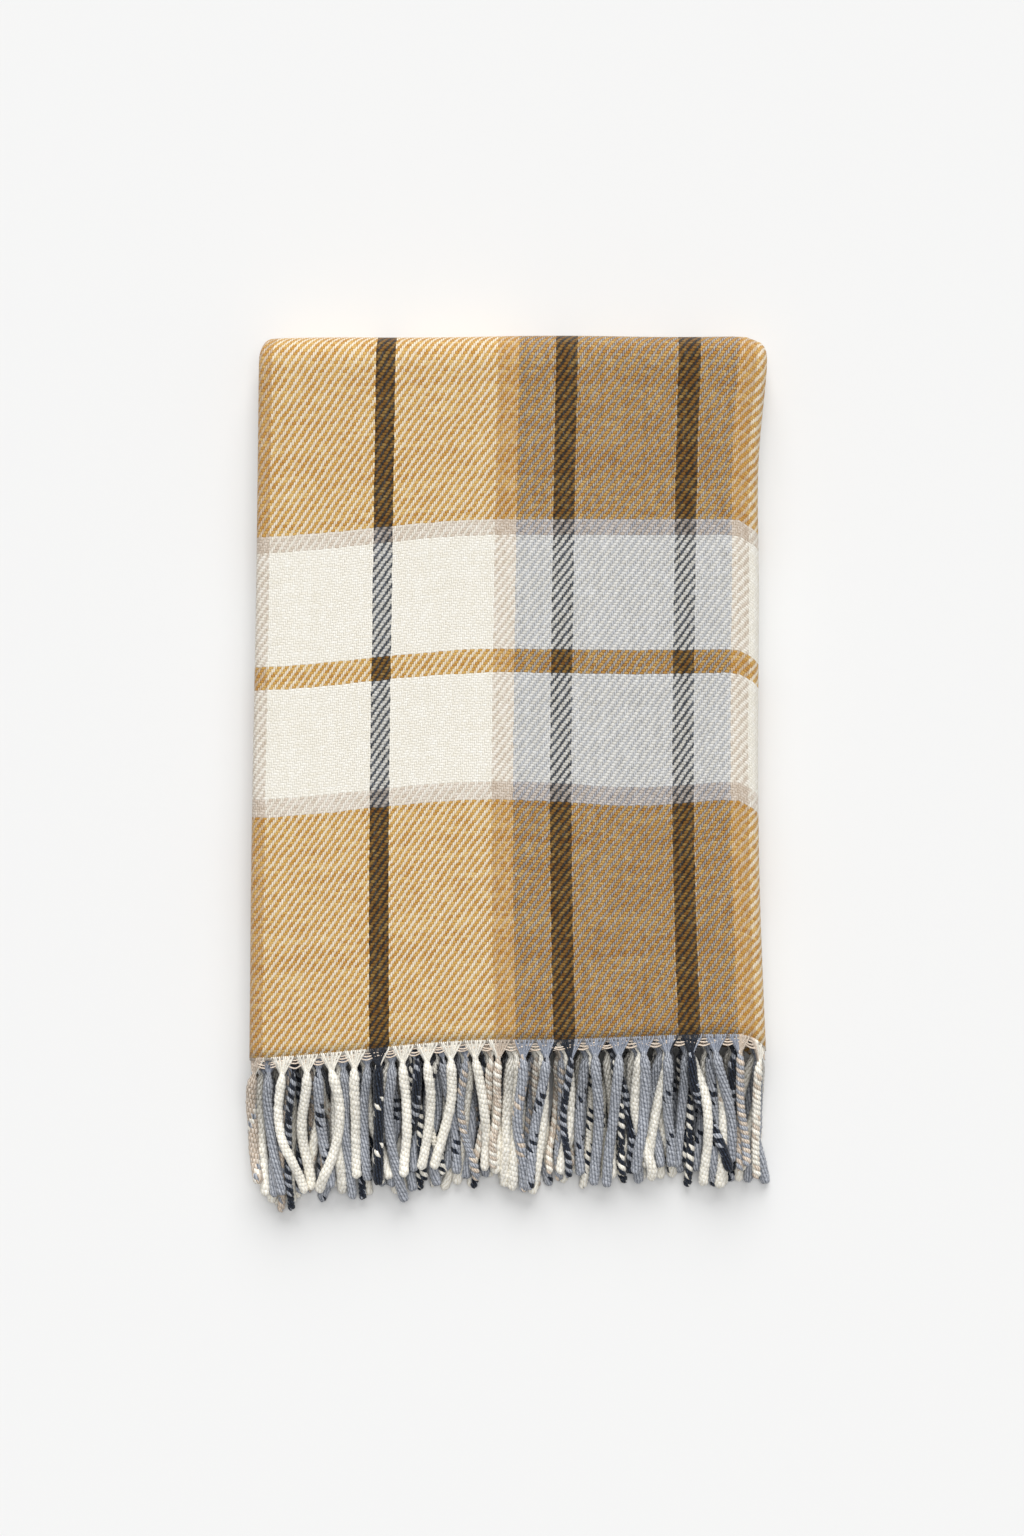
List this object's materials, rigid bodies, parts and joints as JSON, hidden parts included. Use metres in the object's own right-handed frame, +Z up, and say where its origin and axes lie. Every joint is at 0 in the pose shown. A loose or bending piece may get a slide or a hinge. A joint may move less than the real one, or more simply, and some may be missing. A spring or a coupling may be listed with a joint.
{
  "type": "folded throw blanket",
  "caption": "Plaid wool throw with twisted fringe, folded in quarters both ways into a flat stack that opens at its far fold.",
  "frame": {"origin": "middle of the stack's footprint, fringe included, on the surface it lies on", "axes": "+Z up, +Y from the fringe towards the far fold, +X towards the side where all four layers of a panel turn"},
  "size_m": [0.325, 0.5471, 0.0429],
  "materials": {
    "plaid_cloth": "brushed wool twill in ochre, cream, grey, navy and beige checks",
    "beige_wool": "soft spun wool thread",
    "cream_wool": "twisted wool cord",
    "grey_wool": "twisted wool cord",
    "navy_wool": "twisted wool cord"
  },
  "bodies": {
    "lower_half": {"bottom_panel": "plaid_cloth", "third_panel": "plaid_cloth", "near_fold": "plaid_cloth", "outer_far_fold": "plaid_cloth", "inner_far_fold": "plaid_cloth"},
    "upper_half": {"top_panel": "plaid_cloth", "second_panel": "plaid_cloth", "hem_wefts_1": "beige_wool", "hem_wefts_2": "beige_wool", "hem_wefts_3": "beige_wool", "hem_wefts_4": "beige_wool", "hem_wefts_5": "beige_wool", "hem_wefts_6": "beige_wool", "hem_wefts_7": "beige_wool", "hem_wefts_8": "beige_wool", "pale_tassels_1": "cream_wool", "grey_tassels_1": "grey_wool", "navy_tassels_1": "navy_wool", "pale_tassels_2": "cream_wool", "grey_tassels_2": "grey_wool", "navy_tassels_2": "navy_wool", "pale_tassels_3": "cream_wool", "grey_tassels_3": "grey_wool", "navy_tassels_3": "navy_wool", "pale_tassels_4": "cream_wool", "grey_tassels_4": "grey_wool", "navy_tassels_4": "navy_wool", "pale_tassels_5": "cream_wool", "grey_tassels_5": "grey_wool", "navy_tassels_5": "navy_wool", "pale_tassels_6": "cream_wool", "grey_tassels_6": "grey_wool", "navy_tassels_6": "navy_wool", "pale_tassels_7": "cream_wool", "grey_tassels_7": "grey_wool", "navy_tassels_7": "navy_wool", "pale_tassels_8": "cream_wool", "grey_tassels_8": "grey_wool", "navy_tassels_8": "navy_wool"}
  },
  "joints": [
    {"name": "main_fold", "type": "hinge", "parent": "lower_half", "child": "upper_half", "pos_m": [0, 0.26005, 0.02145], "axis": [-1, 0, 0], "range_deg": [0, 180], "deforming": ["outer_far_fold", "inner_far_fold"]}
  ]
}
